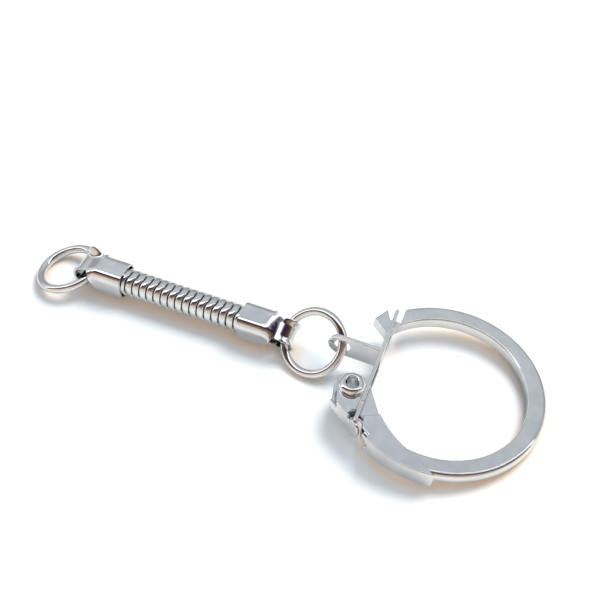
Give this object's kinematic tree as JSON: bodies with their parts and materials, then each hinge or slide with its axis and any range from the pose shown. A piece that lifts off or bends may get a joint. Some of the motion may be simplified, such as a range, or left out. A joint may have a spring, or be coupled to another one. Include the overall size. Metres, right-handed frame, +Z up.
{
  "type": "snap lever key ring with snake chain",
  "caption": "Flat-bar key ring closed by an over-centre lever and cross plate, with a short snake chain in crimped caps and wire rings for hanging it from a fob.",
  "frame": {"origin": "on the table under the middle of the big ring, with the part lying on its flat side", "axes": "+Z up from the table, -X along the snake chain away from the big ring, +Y towards the hooked end of the big ring's gap"},
  "size_m": [0.0692, 0.0254, 0.0061],
  "materials": {
    "ring_nickel": "polished nickel-chrome plate on steel",
    "latch_nickel": "polished plated sheet steel",
    "rivet_nickel": "polished plated brass",
    "wire_nickel": "polished plated steel wire",
    "cap_nickel": "polished plated brass",
    "chain_nickel": "polished plated brass"
  },
  "bodies": {
    "ring_and_bracket": {"key_ring_bar": "ring_nickel", "end_bracket": "latch_nickel", "hollow_rivet": "rivet_nickel"},
    "lever": {"lock_lever": "latch_nickel"},
    "latch_plate": {"cross_plate": "latch_nickel"},
    "connector": {"connector_ring": "wire_nickel"},
    "near_cap": {"near_end_cap": "cap_nickel", "chain_link_01": "chain_nickel"},
    "link_02": {"chain_link_02": "chain_nickel"},
    "link_03": {"chain_link_03": "chain_nickel"},
    "link_04": {"chain_link_04": "chain_nickel"},
    "link_05": {"chain_link_05": "chain_nickel"},
    "link_06": {"chain_link_06": "chain_nickel"},
    "link_07": {"chain_link_07": "chain_nickel"},
    "link_08": {"chain_link_08": "chain_nickel"},
    "link_09": {"chain_link_09": "chain_nickel"},
    "link_10": {"chain_link_10": "chain_nickel"},
    "link_11": {"chain_link_11": "chain_nickel"},
    "link_12": {"chain_link_12": "chain_nickel"},
    "link_13": {"chain_link_13": "chain_nickel"},
    "link_14": {"chain_link_14": "chain_nickel"},
    "link_15": {"chain_link_15": "chain_nickel"},
    "link_16": {"chain_link_16": "chain_nickel"},
    "link_17": {"chain_link_17": "chain_nickel"},
    "far_cap": {"chain_link_18": "chain_nickel", "far_end_cap": "cap_nickel"},
    "end_loop_ring": {"end_ring": "wire_nickel"}
  },
  "joints": [
    {"name": "lever_swing", "type": "hinge", "parent": "ring_and_bracket", "child": "lever", "pos_m": [-0.01027, -0.00455, 0.00358], "axis": [0.1219, 0, 0.9925], "range_deg": [-100, 0]},
    {"name": "plate_swing", "type": "hinge", "parent": "lever", "child": "latch_plate", "pos_m": [-0.00839, -0.00865, 0.00335], "axis": [0.1219, 0, 0.9925], "range_deg": [0, 80]},
    {"name": "connector_swing", "type": "hinge", "parent": "latch_plate", "child": "connector", "pos_m": [-0.01325, 0.0016, 0.00394], "axis": [0, 1, 0], "range_deg": [-50, 70]},
    {"name": "near_cap_swing", "type": "hinge", "parent": "connector", "child": "near_cap", "pos_m": [-0.02089, 0.00225, 0.00248], "axis": [-0.0614, -0.7799, -0.6229], "range_deg": [-60, 60]},
    {"name": "chain_side_bend_01", "type": "hinge", "parent": "near_cap", "child": "link_02", "pos_m": [-0.02693, 0.00273, 0.00248], "axis": [0, 0, 1], "range_deg": [-5, 5]},
    {"name": "chain_lift_bend_02", "type": "hinge", "parent": "link_02", "child": "link_03", "pos_m": [-0.02796, 0.00281, 0.00248], "axis": [0.0785, 0.9969, 0], "range_deg": [-5, 5]},
    {"name": "chain_side_bend_03", "type": "hinge", "parent": "link_03", "child": "link_04", "pos_m": [-0.029, 0.00289, 0.00248], "axis": [0, 0, 1], "range_deg": [-5, 5]},
    {"name": "chain_lift_bend_04", "type": "hinge", "parent": "link_04", "child": "link_05", "pos_m": [-0.03004, 0.00297, 0.00248], "axis": [0.0785, 0.9969, 0], "range_deg": [-5, 5]},
    {"name": "chain_side_bend_05", "type": "hinge", "parent": "link_05", "child": "link_06", "pos_m": [-0.03107, 0.00305, 0.00248], "axis": [0, 0, 1], "range_deg": [-5, 5]},
    {"name": "chain_lift_bend_06", "type": "hinge", "parent": "link_06", "child": "link_07", "pos_m": [-0.03211, 0.00313, 0.00248], "axis": [0.0785, 0.9969, 0], "range_deg": [-5, 5]},
    {"name": "chain_side_bend_07", "type": "hinge", "parent": "link_07", "child": "link_08", "pos_m": [-0.03315, 0.00322, 0.00248], "axis": [0, 0, 1], "range_deg": [-5, 5]},
    {"name": "chain_lift_bend_08", "type": "hinge", "parent": "link_08", "child": "link_09", "pos_m": [-0.03418, 0.0033, 0.00248], "axis": [0.0785, 0.9969, 0], "range_deg": [-5, 5]},
    {"name": "chain_side_bend_09", "type": "hinge", "parent": "link_09", "child": "link_10", "pos_m": [-0.03522, 0.00338, 0.00248], "axis": [0, 0, 1], "range_deg": [-5, 5]},
    {"name": "chain_lift_bend_10", "type": "hinge", "parent": "link_10", "child": "link_11", "pos_m": [-0.03626, 0.00346, 0.00248], "axis": [0.0785, 0.9969, 0], "range_deg": [-5, 5]},
    {"name": "chain_side_bend_11", "type": "hinge", "parent": "link_11", "child": "link_12", "pos_m": [-0.03729, 0.00354, 0.00248], "axis": [0, 0, 1], "range_deg": [-5, 5]},
    {"name": "chain_lift_bend_12", "type": "hinge", "parent": "link_12", "child": "link_13", "pos_m": [-0.03833, 0.00362, 0.00248], "axis": [0.0785, 0.9969, 0], "range_deg": [-5, 5]},
    {"name": "chain_side_bend_13", "type": "hinge", "parent": "link_13", "child": "link_14", "pos_m": [-0.03937, 0.00371, 0.00248], "axis": [0, 0, 1], "range_deg": [-5, 5]},
    {"name": "chain_lift_bend_14", "type": "hinge", "parent": "link_14", "child": "link_15", "pos_m": [-0.04041, 0.00379, 0.00248], "axis": [0.0785, 0.9969, 0], "range_deg": [-5, 5]},
    {"name": "chain_side_bend_15", "type": "hinge", "parent": "link_15", "child": "link_16", "pos_m": [-0.04144, 0.00387, 0.00248], "axis": [0, 0, 1], "range_deg": [-5, 5]},
    {"name": "chain_lift_bend_16", "type": "hinge", "parent": "link_16", "child": "link_17", "pos_m": [-0.04248, 0.00395, 0.00248], "axis": [0.0785, 0.9969, 0], "range_deg": [-5, 5]},
    {"name": "chain_side_bend_17", "type": "hinge", "parent": "link_17", "child": "far_cap", "pos_m": [-0.04352, 0.00403, 0.00248], "axis": [0, 0, 1], "range_deg": [-5, 5]},
    {"name": "end_ring_swing", "type": "hinge", "parent": "far_cap", "child": "end_loop_ring", "pos_m": [-0.04865, 0.00444, 0.00248], "axis": [0.0785, 0.9969, 0], "range_deg": [-60, 60]}
  ],
  "couplings": [
    {"joint": "plate_swing", "follows": "lever_swing", "ratio": -0.76},
    {"joint": "chain_side_bend_03", "follows": "chain_side_bend_01", "ratio": 1},
    {"joint": "chain_lift_bend_04", "follows": "chain_lift_bend_02", "ratio": 1},
    {"joint": "chain_side_bend_05", "follows": "chain_side_bend_01", "ratio": 1},
    {"joint": "chain_lift_bend_06", "follows": "chain_lift_bend_02", "ratio": 1},
    {"joint": "chain_side_bend_07", "follows": "chain_side_bend_01", "ratio": 1},
    {"joint": "chain_lift_bend_08", "follows": "chain_lift_bend_02", "ratio": 1},
    {"joint": "chain_side_bend_09", "follows": "chain_side_bend_01", "ratio": 1},
    {"joint": "chain_lift_bend_10", "follows": "chain_lift_bend_02", "ratio": 1},
    {"joint": "chain_side_bend_11", "follows": "chain_side_bend_01", "ratio": 1},
    {"joint": "chain_lift_bend_12", "follows": "chain_lift_bend_02", "ratio": 1},
    {"joint": "chain_side_bend_13", "follows": "chain_side_bend_01", "ratio": 1},
    {"joint": "chain_lift_bend_14", "follows": "chain_lift_bend_02", "ratio": 1},
    {"joint": "chain_side_bend_15", "follows": "chain_side_bend_01", "ratio": 1},
    {"joint": "chain_lift_bend_16", "follows": "chain_lift_bend_02", "ratio": 1},
    {"joint": "chain_side_bend_17", "follows": "chain_side_bend_01", "ratio": 1}
  ]
}
